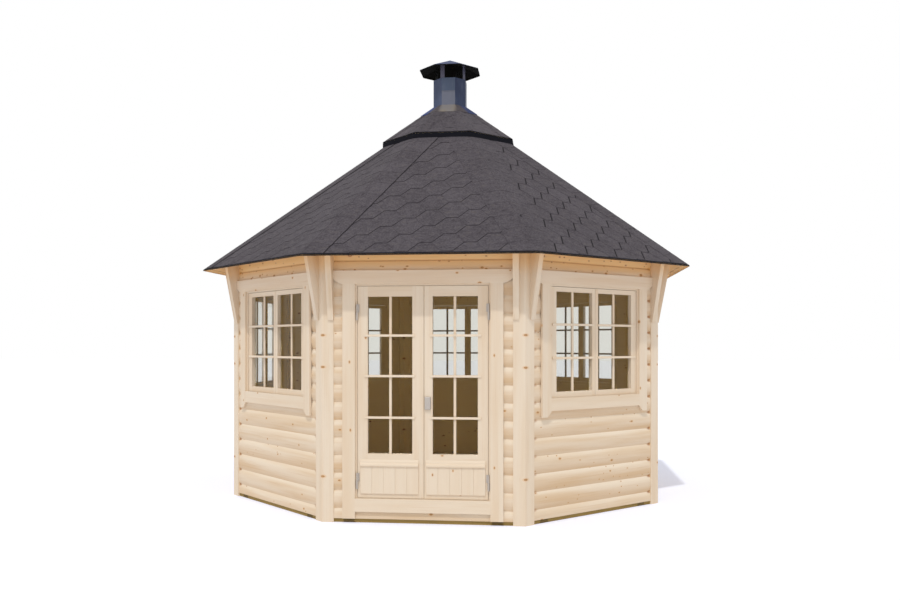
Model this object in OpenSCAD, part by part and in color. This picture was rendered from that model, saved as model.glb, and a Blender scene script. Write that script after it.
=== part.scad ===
// Eight-sided log grill cabin with a glazed double door, seven windows, a shingled roof
// and a sheet-metal chimney. Z is up and the origin is the cabin's centre at ground level.
// The door wall faces -Y.

/* [Walls] */
// Distance between the log joints of opposite walls
across_flats = 3700; // [3200:10:4440]
// Thickness of the log wall over its rounded face
log_t = 45; // [40:1:70]
// Height of one course of logs
log_pitch = 134; // [110:1:162]
// How far the rounded face of a log stands out past the joints
log_crown = 12; // [4:1:14]
// Height of the half log at the foot of each wall
half_log_h = 77; // [60:1:100]
// Height of the treated beam under the walls
beam_h = 30; // [20:1:60]

/* [Corner posts] */
// Width of each outer face of a post, from the corner of the walls
post_face = 85; // [75:1:110]
// How far the post's face stands out past the log joints
post_proud = 15; // [14:1:25]
// Depth of the groove that takes the ends of the logs
groove_d = 27; // [15:1:32]
// Thickness of the inner lips of the groove
post_lip = 15; // [10:1:30]
// Thickness of a roof brace
brace_t = 45; // [30:1:50]
// Height of the lower end of a brace
brace_z = 1535; // [1450:5:1650]
// How far the upper end of a brace reaches out past the log joints
brace_reach = 131; // [90:1:180]
// Depth of the blunt lower end of a brace
brace_toe = 11; // [5:1:25]

/* [Roof] */
// Height of the roof surface at the eave
eave_z = 2015; // [2005:1:2420]
// Reach of the eave past the log joints
eave_reach = 262; // [200:1:400]
// Slope of the roof in degrees
roof_pitch = 38.2; // [34:0.1:42]
// Thickness of the roof boards
board_t = 20; // [16:1:30]
// Thickness of the shingles
shingle_t = 6; // [5:1:14]
// Half width across the flats of the opening at the top of the main roof
smoke_hole_a = 450; // [350:5:520]
// How far the roof boards stop short of the eave
board_back = 35; // [20:1:60]
// Height of the turned-down lip of the metal drip edge
drip_h = 6; // [5:1:14]
// Thickness of the metal drip edge
drip_t = 3; // [2:1:5]

/* [Upper roof] */
// Half width across the flats of the upper roof
upper_a = 609; // [560:1:700]
// Height of the upper roof above the surface of the main roof, at its edge
upper_lift = 49; // [42:1:80]
// Thickness of the edge board round the upper roof
fascia_t = 20; // [12:1:25]

/* [Chimney] */
// Width of the chimney tube across its flats
tube_w = 305; // [240:1:380]
// Height of the chimney tube above the upper roof
tube_h = 260; // [150:5:400]
// Thickness of the sheet metal
sheet_t = 4; // [3:1:6]
// Half width across the flats of the flashing at the foot of the tube
flashing_a = 268; // [220:1:320]
// Half width across the flats of the chimney cap
cap_a = 277; // [220:1:340]
// Height of the cap from its rim to its tip
cap_h = 117; // [60:1:160]
// Gap between the top of the tube and the rim of the cap
cap_gap = 92; // [60:1:140]
// Width of a leg of the cap
leg_w = 42; // [25:1:50]
// Depth of the turned-down rim of the cap
cap_rim = 10; // [6:1:20]

/* [Boards round the openings] */
// Width of the boards round the windows and the door
casing_w = 97; // [80:1:105]
// Thickness of those boards
casing_t = 18; // [12:1:24]
// Half the width between the upright boards
casing_in = 513; // [506:1:518]
// Height of the underside of the head board
header_z = 1808; // [1800:1:1830]
// Height of the head board
header_h = 102; // [80:1:120]
// Rise of the cut at each end of the head board
shoulder_h = 35; // [15:1:50]
// How far the foot of an upright board runs below the sill board
ear_drop = 46; // [20:1:80]
// Width of the square end of that foot
ear_w = 55; // [35:1:70]
// Height of the underside of the sill board
sill_z = 844; // [780:1:900]
// Height of the threshold board over the ground
threshold_z = 85; // [78:1:95]
// Height of the foot of the upright boards beside the door
door_casing_z = 32; // [31:1:60]

/* [Frames and sashes] */
// Thickness of the frames in the wall openings
frame_t = 27; // [20:1:35]
// Gap round a leaf or sash
leaf_gap = 6; // [5:0.5:8]
// Half the clear width of the frames
frame_in = 501; // [490:1:505]
// Thickness of a sash
sash_t = 38; // [30:1:42]
// Width of the outer stiles of a sash
sash_stile = 62; // [45:1:75]
// Distance from the middle of a window to its glass
sash_meet = 35; // [28:1:50]
// Width of the top rail of a sash
sash_top = 36; // [30:1:60]
// Width of the bottom rail of a sash
sash_bottom = 44; // [35:1:70]
// Thickness of the glass
glass_t = 4; // [3:1:6]
// Depth of the glass inside its groove
glass_bite = 8; // [5:1:12]

/* [Door leaves] */
// Thickness of a door leaf
leaf_t = 40; // [35:1:44]
// How far a leaf's face stands out past the log joints
leaf_q = 8; // [4:1:10]
// Height of the bottom of a leaf
leaf_z = 190; // [190:1:200]
// Where the two leaves meet, to the right of the centre
meet_x = 10; // [0:1:12]
// Gap between the two leaves
meet_gap = 8; // [8:0.5:10]
// Width of the stiles of a leaf, outside the glass
leaf_stile = 77; // [60:1:90]
// Distance from the centre of the door to the glass
glass_in = 77; // [70:1:90]
// Width of the top rail of a leaf
leaf_top = 78; // [60:1:110]
// Height of the bottom of the door glass
door_glass_z = 524; // [500:1:700]
// Width of the bottom rail below the boarded panel
leaf_bottom = 31; // [25:1:60]
// Top of the boarded panel
panel_top = 430; // [400:1:460]
// Height of the moulding over the boarded panel
moulding_h = 50; // [25:1:60]
// Side margin of the boarded panel
panel_side = 20; // [20:1:40]
// Distance from the centre of the door to the boarded panel
panel_in = 29; // [25:1:45]
// How far the boarded panel stands out from the leaf
panel_proud = 9; // [3:1:10]
// How far the moulding stands out from the leaf
moulding_proud = 18; // [8:1:18]
// Radius of the hinge barrels
barrel_r = 7; // [6:0.5:8]
// Length of a hinge
hinge_l = 121; // [90:1:140]
// Height of the middle of the lower hinges
hinge_low = 317; // [280:1:380]
// Height of the middle of the upper hinges
hinge_high = 1594; // [1500:1:1650]
// Width of the lock case
lock_w = 46; // [35:1:48]
// Height of the lock case
lock_h = 98; // [70:1:120]
// Height of the middle of the lock case
lock_z = 909; // [860:1:950]
// Thickness of the lock case
lock_t = 18; // [10:1:20]

/* [Floor] */
// Thickness of the floor boards
floor_t = 28; // [20:1:35]
// Height of the floor joists
joist_h = 57; // [45:1:70]
// Width of the floor joists
joist_w = 45; // [35:1:60]
// Distance between the floor joists
joist_step = 600; // [400:10:800]

/* [Hidden] */
WALLS = ["wall_front_right", "wall_right", "wall_back_right", "wall_back",
         "wall_back_left", "wall_left", "wall_front_left"];
OTHERS = ["ground_beams", "floor_joists", "floor_boards", "front_wall_left", "front_wall_right",
          "front_wall_over_door", "door_sill_log", "corner_posts", "roof_braces", "roof_boards",
          "roof_shingles", "drip_edge", "upper_roof_boards", "upper_roof_shingles",
          "upper_roof_edge", "chimney_flashing", "chimney_tube", "chimney_cap_legs",
          "chimney_cap", "head_boards", "side_boards", "sill_boards", "window_frames",
          "window_sashes", "window_glass", "door_frame", "door_threshold", "left_door_leaf",
          "left_door_panel", "left_door_glass", "left_door_hinges", "right_door_leaf",
          "right_door_panel", "right_door_glass", "right_door_hinges", "door_lock",
          "door_hinge_posts"];

pine = "#e8d2b4";
treated = "#8c7a3c";
slate = "#57505a";
navy = "#20252f";
steel_blue = "#3d4a66";
silver = "#b9bcc4";
pane = "#9fb3b8";

// octagon
half_turn = 22.5;
tan_h = tan(half_turn);
cos_h = cos(half_turn);
wall_a = across_flats / 2;
side_half = wall_a * tan_h;
corner_r = wall_a / cos_h;
// wall section, measured outwards from the log joints
inner_q = log_crown - log_t;
slip = 0.3;
// play between faces that come from different directions
hair = 0.02;
log_r = (pow(log_pitch / 2, 2) + pow(log_crown, 2)) / (2 * log_crown);
first_joint = beam_h + half_log_h;
// flat outer face of the core of the logs, and the play at the ends of its tenons
tenon_q = -1;
end_play = 1;
tenon_end = side_half - post_face + groove_d - end_play;
stub_end = side_half - post_face - hair;
// roof planes
eave_a = wall_a + eave_reach;
tan_p = tan(roof_pitch);
cos_p = cos(roof_pitch);
roof_t = board_t + shingle_t;
upper_z = eave_z + (eave_a - upper_a) * tan_p + upper_lift;
tube_a = tube_w / 2;
tube_gap = 2;
tube_top = upper_z + (upper_a - tube_a) * tan_p + tube_h;
cap_z = tube_top + cap_gap;
over_all = eave_z + eave_reach;
joints_up = ceil((over_all - first_joint) / log_pitch);
// openings
opening_half = frame_in + frame_t;
head_reveal = 12;
frame_top = header_z - head_reveal;
opening_top = frame_top + frame_t;
sash_gap = 3;
sash_low = sill_z + casing_w;
frame_low = sash_low - sash_gap;
window_low = frame_low - frame_t;
sash_high = frame_top - sash_gap;
sash_edge = frame_in - sash_gap;
casing_out = casing_in + casing_w;
header_end = stub_end - end_play;
threshold_top = leaf_z - leaf_gap;
// door leaves
leaf_edge = frame_in - leaf_gap;
leaf_high = frame_top - leaf_gap;
door_glass_high = leaf_high - leaf_top;
axis_x = leaf_edge + leaf_gap / 2;
axis_q = log_crown + barrel_r + slip;
panel_low = leaf_z + leaf_bottom;
left_meet = meet_x - meet_gap / 2;
right_meet = meet_x + meet_gap / 2;
glass_out = leaf_edge - leaf_stile;
panel_cut = panel_low + leaf_bottom;
hinge_half = hinge_l / 2;
// pin of a hinge: its radius, its play in the bore and its height above the lower barrel
pin_r = barrel_r / 2;
pin_play = 0.1;
pin_up = hinge_half - 12;
// depth of the outer face of a sash, from the log joints, and the timber behind its glass
sash_q = 4;
glass_back = 5;
sash_glass_q = sash_q - sash_t + glass_back;
// depth of the back of the door glass, from the log joints
glass_q = -14;
// play round the glass in its groove
glass_play = 0.2;
// seam between two faces of the roof
hip_gap = 1;
// larger than the cabin, for cutting
far = 6000;

// turns a piece drawn on the +X side to face number k, counted from the door wall
module face(k) {
  rotate([0, 0, 45 * k - 90]) children();
}

// turns a piece drawn at the corner on the +X axis to corner number k
module corner(k) {
  rotate([0, 0, 45 * k - 90 + half_turn]) children();
}

// box on a wall: y along the wall, q outwards from the log joints, z up
module wall_box(y0, y1, q0, q1, z0, z1) {
  translate([wall_a + q0, y0, z0]) cube([q1 - q0, y1 - y0, z1 - z0]);
}

// eight-sided prism with a flat side to each wall
module octagon(a, z0, z1) {
  translate([0, 0, z0]) rotate([0, 0, half_turn]) cylinder(r = a / cos_h, h = z1 - z0, $fn = 8);
}

// eight-sided pyramid stump
module octagon_cone(a0, a1, z0, z1) {
  translate([0, 0, z0]) rotate([0, 0, half_turn])
    cylinder(r1 = a0 / cos_h, r2 = a1 / cos_h, h = z1 - z0, $fn = 8);
}

// layer of the main roof between two depths below its surface, endless to the sides
module roof_layer(t0, t1) {
  translate([eave_a, 0, eave_z]) rotate([0, roof_pitch, 0])
    translate([-far, -far / 2, -t1]) cube([far + 500, far, t1 - t0]);
}

// one face of the octagon in plan, from one half width to another
module wedge(a0, a1, gap) {
  linear_extrude(height = far)
    polygon([[a0, gap - a0 * tan_h], [a1, gap - a1 * tan_h],
             [a1, a1 * tan_h - gap], [a0, a0 * tan_h - gap]]);
}

// logs of one wall between two ends: a flat core with a rounded face on each log
module logs(y0, y1, tenon0, tenon1, z0, z1) {
  wall_box(tenon0, tenon1, inner_q, tenon_q, z0, z1);
  intersection() {
    wall_box(y0, y1, tenon_q - 2, log_crown + 1, z0, z1);
    union() {
      for (i = [-1 : joints_up]) {
        zc = first_joint + (i + 0.5) * log_pitch;
        if (zc + log_pitch / 2 > z0 && zc - log_pitch / 2 < z1)
          intersection() {
            translate([wall_a + log_crown - log_r, y0 - 1, zc]) rotate([-90, 0, 0])
              cylinder(r = log_r, h = y1 - y0 + 2, $fn = 120);
            wall_box(y0 - 1, y1 + 1, tenon_q - 3, log_crown + 2, zc - log_pitch / 2, zc + log_pitch / 2);
          }
      }
    }
  }
}

// log wall number k with its window opening, cut to the slope of the roof
module window_wall(k) {
  color(pine)
    face(k)
      difference() {
        logs(-stub_end, stub_end, -tenon_end, tenon_end, beam_h, over_all);
        wall_box(-opening_half, opening_half, inner_q - 10, log_crown + 10, window_low, opening_top);
        roof_layer(-far / 2, roof_t);
      }
}

module wall_front_right() {
  window_wall(1);
}

module wall_right() {
  window_wall(2);
}

module wall_back_right() {
  window_wall(3);
}

module wall_back() {
  window_wall(4);
}

module wall_back_left() {
  window_wall(5);
}

module wall_left() {
  window_wall(6);
}

module wall_front_left() {
  window_wall(7);
}

// part of the door wall between two ends
module door_wall_part(y0, y1, tenon0, tenon1, z0, z1) {
  difference() {
    logs(y0, y1, tenon0, tenon1, z0, z1);
    roof_layer(-far / 2, roof_t);
  }
}

module front_wall_right() {
  color(pine) face(0)
    door_wall_part(opening_half, stub_end, opening_half, tenon_end, beam_h, opening_top);
}

module front_wall_left() {
  color(pine) face(0)
    door_wall_part(-stub_end, -opening_half, -tenon_end, -opening_half, beam_h, opening_top);
}

module front_wall_over_door() {
  color(pine) face(0)
    door_wall_part(-stub_end, stub_end, -tenon_end, tenon_end, opening_top, over_all);
}

module door_sill_log() {
  color(pine) face(0)
    logs(-opening_half, opening_half, -opening_half, opening_half, beam_h, first_joint);
}

module ground_beams() {
  color(treated)
    for (k = [0 : 7])
      face(k) wall_box(-tenon_end, tenon_end, inner_q, tenon_q, 0, beam_h);
}

module floor_joists() {
  joists_side = floor((wall_a + inner_q - joist_w) / joist_step);
  color(treated)
    intersection() {
      octagon(wall_a + inner_q - slip, 0, joist_h);
      for (i = [-joists_side : joists_side])
        translate([i * joist_step - joist_w / 2, -far / 2, 0]) cube([joist_w, far, joist_h]);
    }
}

module floor_boards() {
  edge_gap = 5;
  color(pine) octagon(wall_a + inner_q - post_lip - edge_gap, joist_h, joist_h + floor_t);
}

// a point near a corner of the walls: s along the wall on side m, q outwards
function post_point(s, q, m) =
  [corner_r - s * sin(half_turn) + q * cos_h, m * (s * cos_h + q * sin(half_turn))];

module post_section() {
  groove_s = post_face - groove_d;
  lip_q = inner_q - slip;
  half = [[post_face, post_proud], [post_face, 0], [groove_s, 0], [groove_s, lip_q],
          [post_face, lip_q], [post_face, lip_q - post_lip]];
  right_side = [for (p = half) post_point(p[0], p[1], 1)];
  left_side = [for (i = [len(half) - 1 : -1 : 0]) post_point(half[i][0], half[i][1], -1)];
  polygon(concat([[corner_r + post_proud / cos_h, 0]], right_side,
                 [[corner_r + (lip_q - post_lip) / cos_h, 0]], left_side));
}

module corner_posts() {
  color(pine)
    difference() {
      for (k = [0 : 7])
        corner(k) linear_extrude(height = over_all) post_section();
      for (k = [0 : 7])
        face(k) roof_layer(-far / 2, roof_t);
    }
}

// brace of the eave: a tapered board square to the wall, up to the roof boards
module brace() {
  under_z = eave_z - roof_t / cos_p + (eave_reach - brace_reach) * tan_p;
  foot_q = post_proud + slip;
  difference() {
    translate([wall_a, brace_t / 2, 0]) rotate([90, 0, 0])
      linear_extrude(height = brace_t)
        polygon([[foot_q, brace_z], [post_proud + brace_toe, brace_z],
                 [brace_reach, under_z], [foot_q, under_z + brace_reach]]);
    roof_layer(-far / 2, roof_t);
  }
}

module roof_braces() {
  color(pine)
    for (k = [0 : 7])
      for (m = [-1, 1])
        face(k) translate([0, m * (side_half - post_face + brace_t / 2), 0]) brace();
}

module roof_boards() {
  color(pine)
    for (k = [0 : 7])
      face(k)
        intersection() {
          roof_layer(shingle_t, roof_t);
          wedge(smoke_hole_a, eave_a - board_back, hip_gap / 2);
        }
}

module roof_shingles() {
  color(slate)
    for (k = [0 : 7])
      face(k)
        intersection() {
          roof_layer(0, shingle_t);
          wedge(smoke_hole_a, eave_a, hip_gap / 2);
        }
}

// flange under the shingles, in front of the boards, with a lip turned down at the eave
module drip_edge() {
  tuck = 1;
  lip_z = eave_z - shingle_t / cos_p - drip_h;
  color(navy)
    for (k = [0 : 7])
      face(k)
        intersection() {
          union() {
            roof_layer(shingle_t, shingle_t + drip_t);
            translate([eave_a - drip_t, -far / 2, lip_z]) cube([drip_t, far, drip_h - tuck]);
          }
          wedge(eave_a - board_back + slip, eave_a, hip_gap / 2);
        }
}

// solid under the upper roof's surface, lowered by a depth and spread past its edge
module upper_cone(depth) {
  spread = 100;
  tip_a = tube_a / 4;
  octagon_cone(upper_a + spread, tip_a, upper_z - spread * tan_p - depth / cos_p,
               upper_z + (upper_a - tip_a) * tan_p - depth / cos_p);
}

// layer of the upper roof between two depths below its surface
module upper_layer(t0, t1, a_out, a_in) {
  intersection() {
    difference() {
      upper_cone(t0);
      upper_cone(t1);
    }
    difference() {
      octagon(a_out, 0, far);
      octagon(a_in, -1, far + 1);
    }
  }
}

module upper_roof_boards() {
  color(pine) upper_layer(shingle_t, roof_t, upper_a - fascia_t, tube_a + tube_gap);
}

module upper_roof_shingles() {
  color(slate) upper_layer(0, shingle_t, upper_a, tube_a + tube_gap);
}

module upper_roof_edge() {
  top_z = upper_z - shingle_t / cos_p;
  color(navy)
    difference() {
      octagon(upper_a, top_z - upper_lift - fascia_t * tan_p, top_z);
      octagon(upper_a - fascia_t, 0, far);
      octagon_cone(eave_a, 0, eave_z, eave_z + eave_a * tan_p);
    }
}

module chimney_flashing() {
  color(steel_blue) upper_layer(-sheet_t, 0, flashing_a, tube_a);
}

module chimney_tube() {
  below_roof = 80;
  foot_z = upper_z + (upper_a - tube_a) * tan_p - below_roof;
  color(steel_blue)
    difference() {
      octagon(tube_a, foot_z, tube_top);
      octagon(tube_a - sheet_t, foot_z - 1, tube_top + 1);
    }
}

module chimney_cap_legs() {
  inside = 60;
  leg_r = (tube_a - sheet_t) / cos_h - leg_w / 2 * tan_h - slip;
  leg_top = cap_z + (cap_a - leg_r / cos_h) * cap_h / cap_a - sheet_t;
  color(steel_blue)
    for (k = [0, 2, 4, 6])
      rotate([0, 0, 45 * k - 90 - half_turn])
        translate([leg_r - sheet_t, -leg_w / 2, tube_top - inside])
          cube([sheet_t, leg_w, leg_top - tube_top + inside]);
}

module chimney_cap() {
  inner_a = cap_a - sheet_t;
  inner_z = cap_z - sheet_t;
  low = cap_z - cap_rim;
  color(steel_blue)
    rotate([0, 0, half_turn])
      rotate_extrude($fn = 8)
        polygon([[cap_a / cos_h, low], [cap_a / cos_h, cap_z], [0, cap_z + cap_h],
                 [0, inner_z + inner_a * cap_h / cap_a], [inner_a / cos_h, inner_z],
                 [inner_a / cos_h, low]]);
}

// outline of a head board in y and z
module header_outline() {
  polygon(concat(
    [[-header_end, header_z + header_h], [-header_end, header_z + shoulder_h]],
    [for (i = [1 : 6]) shoulder_point(i / 6, -1)],
    [for (i = [6 : -1 : 1]) shoulder_point(i / 6, 1)],
    [[header_end, header_z + shoulder_h], [header_end, header_z + header_h]]));
}

function shoulder_point(f, m) =
  [m * (header_end - f * (header_end - casing_out)), header_z + shoulder_h * (1 - sin(90 * f))];

// flat board on the wall from an outline in y and z
module casing_board() {
  translate([wall_a + log_crown, 0, 0]) rotate([90, 0, 90]) linear_extrude(height = casing_t) children();
}

module head_boards() {
  color(pine)
    for (k = [0 : 7])
      face(k) casing_board() header_outline();
}

module side_boards() {
  foot = sill_z - ear_drop;
  slant = casing_w - ear_w;
  color(pine) {
    for (k = [1 : 7])
      for (m = [0, 1])
        face(k) mirror([0, m, 0])
          casing_board()
            polygon([[casing_out, header_z], [casing_out, foot], [casing_out - ear_w, foot],
                     [casing_in, foot + slant], [casing_in, header_z]]);
    for (m = [0, 1])
      face(0) mirror([0, m, 0])
        wall_box(casing_in, casing_out, log_crown, log_crown + casing_t, door_casing_z, header_z);
  }
}

module sill_boards() {
  color(pine)
    for (k = [1 : 7])
      face(k) wall_box(-casing_in, casing_in, log_crown, log_crown + casing_t, sill_z, sash_low);
}

module window_frames() {
  color(pine)
    for (k = [1 : 7])
      face(k)
        difference() {
          wall_box(-opening_half, opening_half, inner_q, log_crown, window_low, opening_top);
          wall_box(-frame_in, frame_in, inner_q - 1, log_crown + 1, frame_low, frame_top);
        }
}

// one sash on the right-hand side of a window
module sash() {
  difference() {
    wall_box(sash_gap / 2, sash_edge, sash_q - sash_t, sash_q, sash_low, sash_high);
    wall_box(sash_meet, sash_edge - sash_stile, -far / 2, far / 2,
             sash_low + sash_bottom, sash_high - sash_top);
    sash_pane(glass_play);
  }
}

// glass of that sash, let into its groove, with a margin all round
module sash_pane(margin) {
  grow = glass_bite + margin;
  wall_box(sash_meet - grow, sash_edge - sash_stile + grow,
           sash_glass_q - margin, sash_glass_q + glass_t + margin,
           sash_low + sash_bottom - grow, sash_high - sash_top + grow);
}

module window_sashes() {
  color(pine)
    for (k = [1 : 7])
      for (m = [0, 1])
        face(k) mirror([0, m, 0]) sash();
}

module window_glass() {
  color(pane)
    for (k = [1 : 7])
      for (m = [0, 1])
        face(k) mirror([0, m, 0]) sash_pane(0);
}

module door_frame() {
  color(pine)
    face(0)
      difference() {
        wall_box(-opening_half, opening_half, inner_q, log_crown, first_joint, opening_top);
        wall_box(-frame_in, frame_in, inner_q - 1, log_crown + 1, threshold_top, frame_top);
      }
}

module door_threshold() {
  color(pine)
    face(0) wall_box(-casing_in, casing_in, log_crown, log_crown + casing_t, threshold_z, threshold_top);
}

// leaf between a hinge edge and a meeting edge, with its glass between two more
module leaf(y0, y1, g0, g1) {
  difference() {
    wall_box(y0, y1, leaf_q - leaf_t, leaf_q, leaf_z, leaf_high);
    wall_box(g0, g1, -far / 2, far / 2, door_glass_z, door_glass_high);
    leaf_pane(g0, g1, glass_play);
    wall_box(g0, g1, -far / 2, far / 2, panel_cut, panel_top);
  }
}

module leaf_pane(g0, g1, margin) {
  grow = glass_bite + margin;
  wall_box(g0 - grow, g1 + grow, glass_q - margin, glass_q + glass_t + margin,
           door_glass_z - grow, door_glass_high + grow);
}

// boarded panel with its moulding, and the filling behind it
module leaf_panel(y0, y1, g0, g1) {
  wall_box(y0, y1, leaf_q, leaf_q + panel_proud, panel_low, panel_top);
  wall_box(y0, y1, leaf_q, leaf_q + moulding_proud, panel_top, panel_top + moulding_h);
  wall_box(g0, g1, leaf_q - leaf_t / 2, leaf_q + panel_proud, panel_cut, panel_top);
}

// half of a hinge that is fixed to the leaf: upper barrel and wing, bored for the pin
module leaf_hinge(z, m) {
  wing = 16;
  wing_t = axis_q - leaf_q - pin_r - 1;
  difference() {
    union() {
      translate([wall_a + axis_q, m * axis_x, z + 1])
        cylinder(r = barrel_r, h = hinge_half - 1, $fn = 48);
      mirror([0, m < 0 ? 1 : 0, 0])
        wall_box(axis_x - wing, axis_x, leaf_q, leaf_q + wing_t, z + 1, z + hinge_half);
    }
    translate([wall_a + axis_q, m * axis_x, z])
      cylinder(r = pin_r + pin_play, h = pin_up + 2, $fn = 48);
  }
}

// half of a hinge that is fixed to the frame: lower barrel, wing and pin
module frame_hinge(z, m) {
  wing = 11;
  wing_t = axis_q - log_crown - pin_r;
  translate([wall_a + axis_q, m * axis_x, z - hinge_half])
    cylinder(r = barrel_r, h = hinge_half, $fn = 48);
  translate([wall_a + axis_q, m * axis_x, z - 1])
    cylinder(r = pin_r, h = pin_up + 1, $fn = 48);
  mirror([0, m < 0 ? 1 : 0, 0])
    wall_box(axis_x, axis_x + wing, log_crown, log_crown + wing_t, z - hinge_half, z);
}

module left_door_leaf() {
  color(pine) face(0) leaf(-leaf_edge, left_meet, -glass_out, -glass_in);
}

module right_door_leaf() {
  color(pine) face(0) leaf(right_meet, leaf_edge, glass_in, glass_out);
}

module left_door_panel() {
  color(pine) face(0) leaf_panel(panel_side - leaf_edge, -panel_in, -glass_out, -glass_in);
}

module right_door_panel() {
  color(pine) face(0) leaf_panel(panel_in, leaf_edge - panel_side, glass_in, glass_out);
}

module left_door_glass() {
  color(pane) face(0) leaf_pane(-glass_out, -glass_in, 0);
}

module right_door_glass() {
  color(pane) face(0) leaf_pane(glass_in, glass_out, 0);
}

module left_door_hinges() {
  color(silver)
    face(0)
      for (z = [hinge_low, hinge_high])
        leaf_hinge(z, -1);
}

module right_door_hinges() {
  color(silver)
    face(0)
      for (z = [hinge_low, hinge_high])
        leaf_hinge(z, 1);
}

module door_hinge_posts() {
  color(silver)
    face(0)
      for (z = [hinge_low, hinge_high])
        for (m = [-1, 1])
          frame_hinge(z, m);
}

module door_lock() {
  edge = right_meet + 4;
  low = lock_z - lock_h / 2;
  color(silver)
    face(0) wall_box(edge, edge + lock_w, leaf_q, leaf_q + lock_t, low, low + lock_h);
}

wall_front_right();
wall_right();
wall_back_right();
wall_back();
wall_back_left();
wall_left();
wall_front_left();
ground_beams();
floor_joists();
floor_boards();
front_wall_left();
front_wall_right();
front_wall_over_door();
door_sill_log();
corner_posts();
roof_braces();
roof_boards();
roof_shingles();
drip_edge();
upper_roof_boards();
upper_roof_shingles();
upper_roof_edge();
chimney_flashing();
chimney_tube();
chimney_cap_legs();
chimney_cap();
head_boards();
side_boards();
sill_boards();
window_frames();
window_sashes();
window_glass();
door_frame();
door_threshold();
left_door_leaf();
left_door_panel();
left_door_glass();
left_door_hinges();
right_door_leaf();
right_door_panel();
right_door_glass();
right_door_hinges();
door_lock();
door_hinge_posts();
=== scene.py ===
import math
import random

import bmesh
import bpy
from mathutils import Matrix, Vector


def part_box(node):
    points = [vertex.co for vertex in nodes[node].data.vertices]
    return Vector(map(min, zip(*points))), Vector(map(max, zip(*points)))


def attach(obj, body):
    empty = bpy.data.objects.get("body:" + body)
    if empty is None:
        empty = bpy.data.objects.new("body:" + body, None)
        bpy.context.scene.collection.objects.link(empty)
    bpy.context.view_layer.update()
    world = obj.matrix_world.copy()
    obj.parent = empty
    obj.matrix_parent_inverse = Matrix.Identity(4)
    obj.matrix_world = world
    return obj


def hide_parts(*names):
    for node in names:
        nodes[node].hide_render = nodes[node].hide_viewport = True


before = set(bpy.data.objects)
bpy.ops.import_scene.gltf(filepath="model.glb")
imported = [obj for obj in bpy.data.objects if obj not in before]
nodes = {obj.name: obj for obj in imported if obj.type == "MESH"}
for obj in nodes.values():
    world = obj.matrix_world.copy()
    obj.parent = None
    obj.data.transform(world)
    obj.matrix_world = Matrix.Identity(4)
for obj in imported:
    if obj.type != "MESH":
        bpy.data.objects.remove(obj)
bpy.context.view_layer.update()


# --- Log walls ------------------------------------------------------------------------
# Eight walls of machined pine logs, rounded outside and flat inside. The logs lie on
# one another with a tongue and groove, and their ends slide into the posts.
SIDES = 8
EIGHTH = math.pi / 4
TO_DOOR = 2
WALL_A = 1.850
LOG_PITCH = 0.134
FIRST_JOINT = 0.107
LOG_BACK = -0.02
LOG_SEAM = 0.004
TOP_LOGS = 1.895
WALL_TOP = 1.985
UNDERSIDE = 0.115
CROWN = 0.08
CASING_EDGE = (0.625, 0.66)
HOLLOW_EDGE = (0.006, -0.008)
HOLLOW_DEPTH = 0.012
JOINT_LINE = 0.009
DOORSIDE = 0.3
LOG_KNOT = 0.0065
LOG_KNOT_RUN = 0.42
TOP_KNOT_RUN = 0.20
PIN_KNOT = 0.0036
TOP_PIN_KNOT = 0.0050
PIN_RUN = 0.09
PIN_ROW = LOG_PITCH / 2.5


def paint(red, green, blue):
    """a colour written in the everyday 0 to 255 scale"""
    channels = []
    for value in (red, green, blue):
        v = value / 255
        channels.append(v / 12.92 if v <= 0.04045 else ((v + 0.055) / 1.055) ** 2.4)
    return (*channels, 1.0)


class Value:
    """A value that changes over a surface. Sums, products and comparisons of it add
    Math nodes."""

    def __init__(self, owner, socket):
        self.owner = owner
        self.socket = socket

    def math(self, operation, *others):
        inputs = dict(enumerate((self, *others)))
        return self.owner.node("ShaderNodeMath", {"operation": operation}, inputs)

    def __add__(self, other):
        return self.math("ADD", other)

    def __mul__(self, other):
        return self.math("MULTIPLY", other)

    def __sub__(self, other):
        return self.math("SUBTRACT", other)

    def __truediv__(self, other):
        return self.math("DIVIDE", other)

    def __pow__(self, other):
        return self.math("POWER", other)

    def __gt__(self, other):
        return self.math("GREATER_THAN", other)

    def __lt__(self, other):
        return self.math("LESS_THAN", other)

    def __neg__(self):
        return self * -1

    def __abs__(self):
        return self.math("ABSOLUTE")

    def __rsub__(self, other):
        return -self + other

    __radd__ = __add__
    __rmul__ = __mul__

    def fade(self, start, end, low=0.0, high=1.0):
        """runs smoothly from low at start to high at end"""
        settings = {"interpolation_type": "SMOOTHSTEP"}
        inputs = {0: self, 1: start, 2: end, 3: low, 4: high}
        return self.owner.node("ShaderNodeMapRange", settings, inputs)

    def outputs(self):
        """all that the same node gives, by number and name"""
        return self.socket.node.outputs

    def parts(self):
        split = self.owner.node("ShaderNodeSeparateXYZ", {}, {0: self})
        return [Value(self.owner, out) for out in split.outputs()]


class Nodes:
    """A tree of shader nodes in the making."""

    def __init__(self, tree):
        self.tree = tree

    def node(self, kind, settings, inputs, output=0):
        made = self.tree.nodes.new(kind)
        for key, value in settings.items():
            setattr(made, key, value)
        for key, value in inputs.items():
            self.feed(made.inputs[key], value)
        return Value(self, made.outputs[output])

    def feed(self, socket, value):
        if isinstance(value, Value):
            self.tree.links.new(value.socket, socket)
        else:
            socket.default_value = value


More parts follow.
